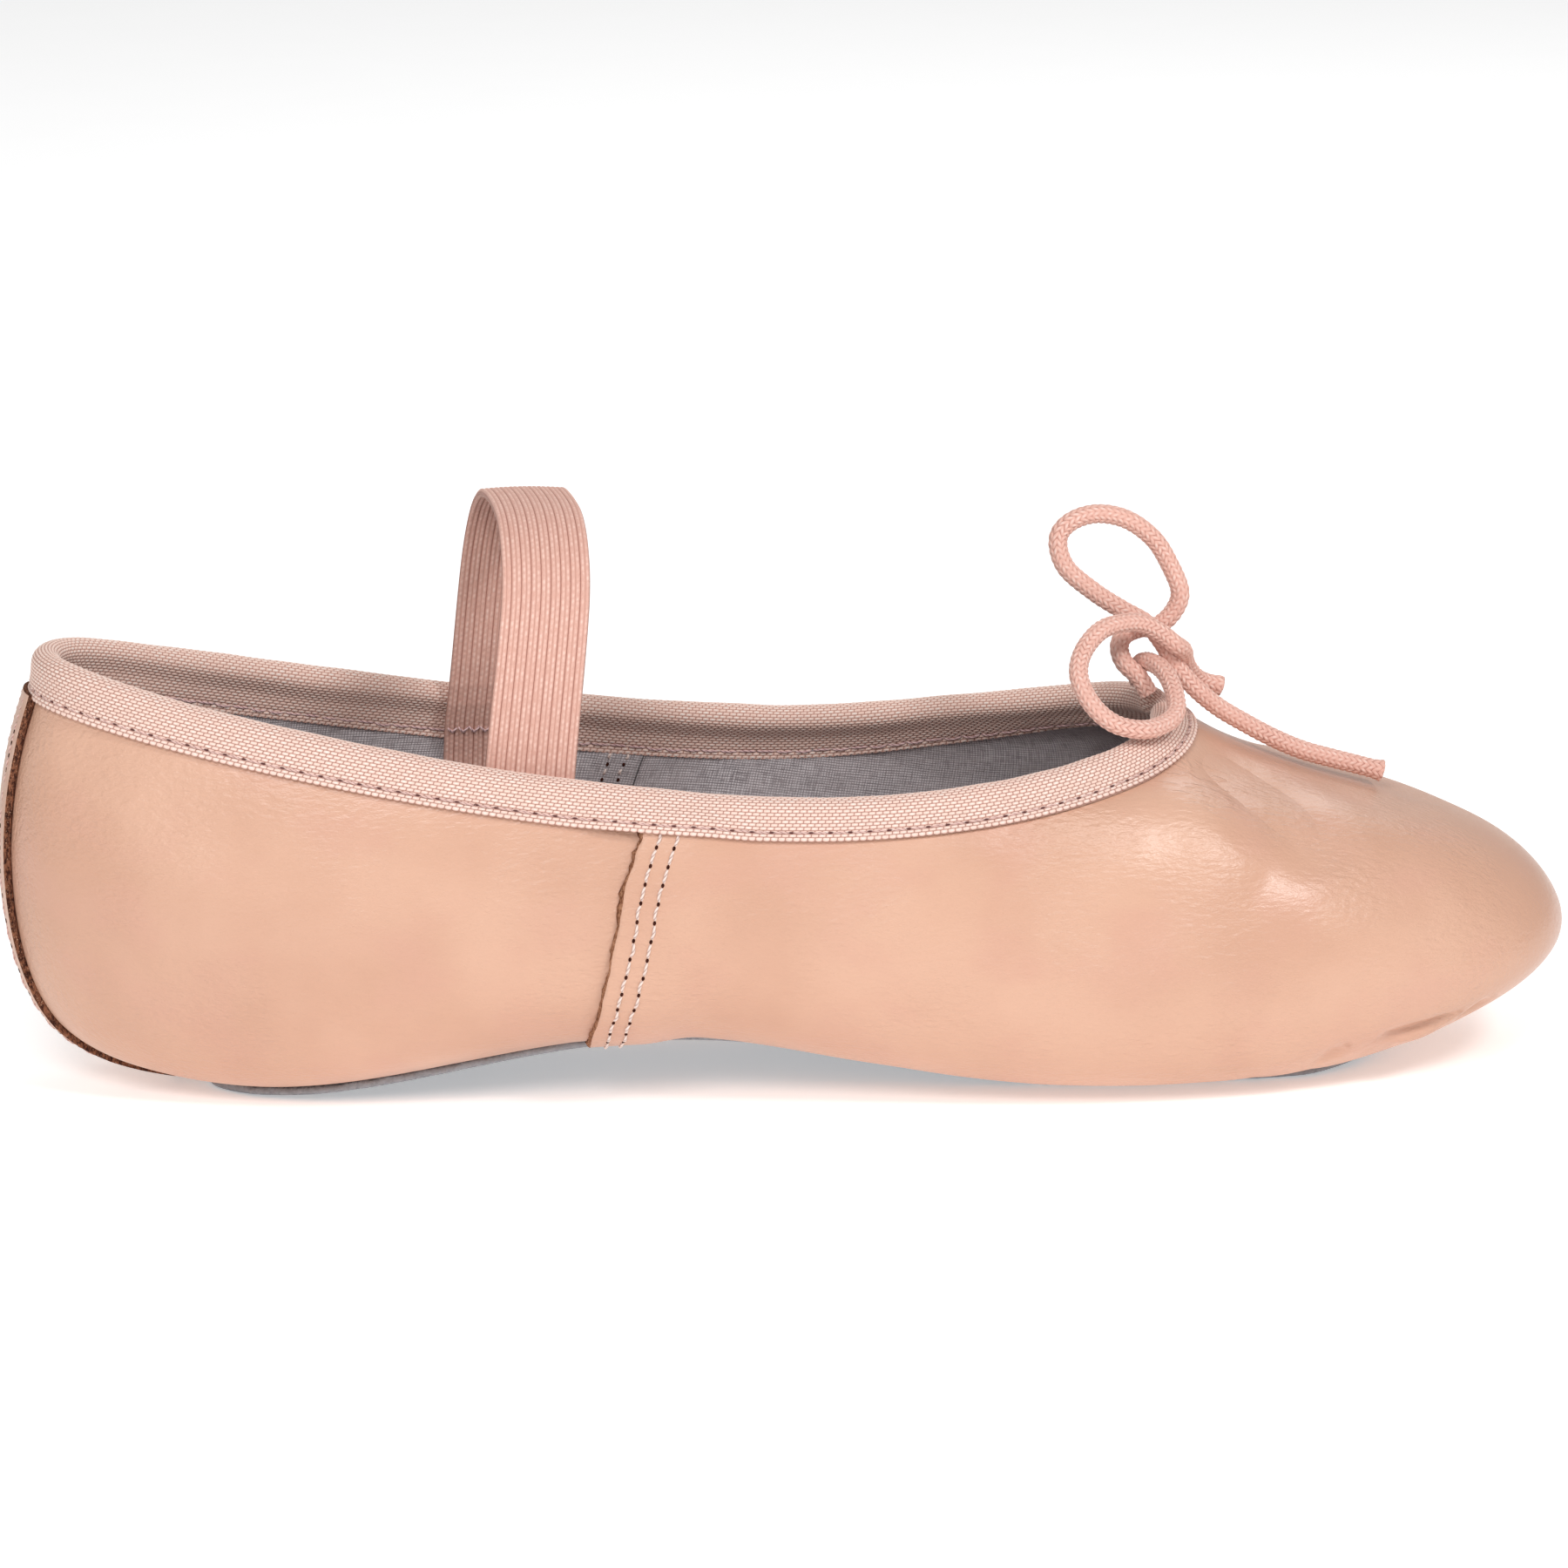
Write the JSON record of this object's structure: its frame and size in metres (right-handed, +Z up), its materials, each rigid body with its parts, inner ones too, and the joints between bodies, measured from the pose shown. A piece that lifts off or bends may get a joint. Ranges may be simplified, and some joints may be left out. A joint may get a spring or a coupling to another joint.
{
  "type": "ballet slipper",
  "caption": "Soft leather ballet slipper with a full suede sole, lapped side seams, a bound topline with a drawstring tied in a bow, and an elastic instep strap.",
  "frame": {"origin": "centre of the shoe's box on the ground, under the sole", "axes": "+X to the toe, -Y to the side that the bow's lower loop hangs over, +Z up"},
  "size_m": [0.2328, 0.0768, 0.0883],
  "materials": {
    "upper_leather": "smooth matt leather, nude pink",
    "stay_leather": "smooth leather strip with a raw brown cut edge",
    "suede_sole": "napped grey suede",
    "sole_board": "plain fibre board and felt filler",
    "cotton_lining": "plain-weave cotton, pale grey",
    "binding_tape": "woven tape, salmon pink",
    "drawstring_cord": "braided cotton cord, salmon pink",
    "strap_elastic": "ribbed woven elastic, salmon pink",
    "thread": "twisted sewing thread, pale pink"
  },
  "bodies": {
    "shoe": {"outsole": "suede_sole", "sole_filler": "sole_board", "insole_board": "sole_board", "sock_lining": "cotton_lining", "vamp": "upper_leather", "quarter_near": "upper_leather", "quarter_far": "upper_leather", "vamp_lining": "cotton_lining", "quarter_lining_near": "cotton_lining", "quarter_lining_far": "cotton_lining", "back_stay": "stay_leather", "topline_binding": "binding_tape", "drawstring": "drawstring_cord", "drawstring_end_near": "drawstring_cord", "drawstring_end_far": "drawstring_cord", "strap_tab_near": "strap_elastic", "strap_tab_far": "strap_elastic", "strap_stitches": "thread", "side_seam_stitches_near": "thread", "side_seam_stitches_far": "thread", "back_stay_stitches": "thread", "binding_stitches": "thread", "sole_stitches": "thread"},
    "strap": {"elastic_strap": "strap_elastic"}
  },
  "joints": [
    {"name": "strap_swing", "type": "hinge", "parent": "shoe", "child": "strap", "pos_m": [-0.0421, 0, 0.047], "axis": [0, 1, 0], "range_deg": [-30, 75], "stiffness_Nm_per_rad": 0.005}
  ]
}
